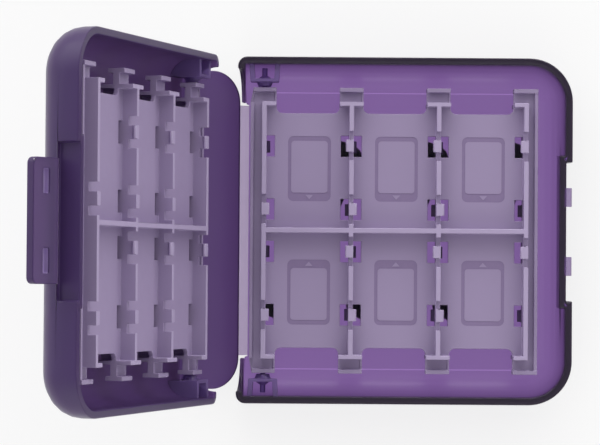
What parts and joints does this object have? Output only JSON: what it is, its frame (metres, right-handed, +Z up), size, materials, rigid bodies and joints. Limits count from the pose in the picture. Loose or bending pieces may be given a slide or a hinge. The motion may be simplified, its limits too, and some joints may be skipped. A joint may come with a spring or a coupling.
{
  "type": "game card case",
  "caption": "Translucent clamshell case for game cards: a base and a lid on a hinged spine panel, a fold-over latch flap and double-sided slotted trays that turn like pages.",
  "frame": {"origin": "centre of the base's flat bottom face, on the surface that it lies on", "axes": "+Z up out of the base, +X from the spine towards the latch, +Y along the hinge lines"},
  "size_m": [0.1316, 0.09, 0.1039],
  "materials": {
    "case_shell": "translucent purple, moulded, semi-gloss",
    "living_hinge": "thin translucent flexing web",
    "tray": "opaque lavender, moulded, satin"
  },
  "bodies": {
    "base": {"base_shell": "case_shell", "base_pivot_bracket_upper": "case_shell", "base_pivot_bracket_lower": "case_shell", "base_tray_pin_upper": "case_shell", "base_tray_pin_lower": "case_shell", "catch_tab_upper": "case_shell", "catch_tab_lower": "case_shell", "base_hinge_web": "living_hinge"},
    "spine": {"spine_panel": "case_shell"},
    "lid": {"lid_shell": "case_shell", "lid_pivot_bracket_upper": "case_shell", "lid_pivot_bracket_lower": "case_shell", "lid_tray_pin_upper": "case_shell", "lid_tray_pin_lower": "case_shell", "lid_hinge_web": "living_hinge"},
    "latch": {"latch_flap": "case_shell", "latch_hinge_web": "living_hinge"},
    "base_tray": {"base_tray": "tray"},
    "lid_tray": {"lid_tray": "tray"}
  },
  "joints": [
    {"name": "base_hinge", "type": "hinge", "parent": "base", "child": "spine", "pos_m": [-0.04215, 0, 0.002], "axis": [0, -1, 0], "range_deg": [-55, 35], "deforming": ["base_hinge_web"]},
    {"name": "lid_hinge", "type": "hinge", "parent": "spine", "child": "lid", "pos_m": [-0.0573, 0, 0.01261], "axis": [0, -1, 0], "range_deg": [-54.5, 35.5], "deforming": ["lid_hinge_web"]},
    {"name": "latch_hinge", "type": "hinge", "parent": "lid", "child": "latch", "pos_m": [-0.08169, 0, 0.09452], "axis": [0, -1, 0], "range_deg": [-103, 12], "deforming": ["latch_hinge_web"]},
    {"name": "base_tray_pivot", "type": "hinge", "parent": "base", "child": "base_tray", "pos_m": [-0.0366, 0, 0.0064], "axis": [0, -1, 0], "range_deg": [0, 95]},
    {"name": "lid_tray_pivot", "type": "hinge", "parent": "lid", "child": "lid_tray", "pos_m": [-0.05501, 0, 0.01931], "axis": [0, 1, 0], "range_deg": [0, 95]}
  ]
}
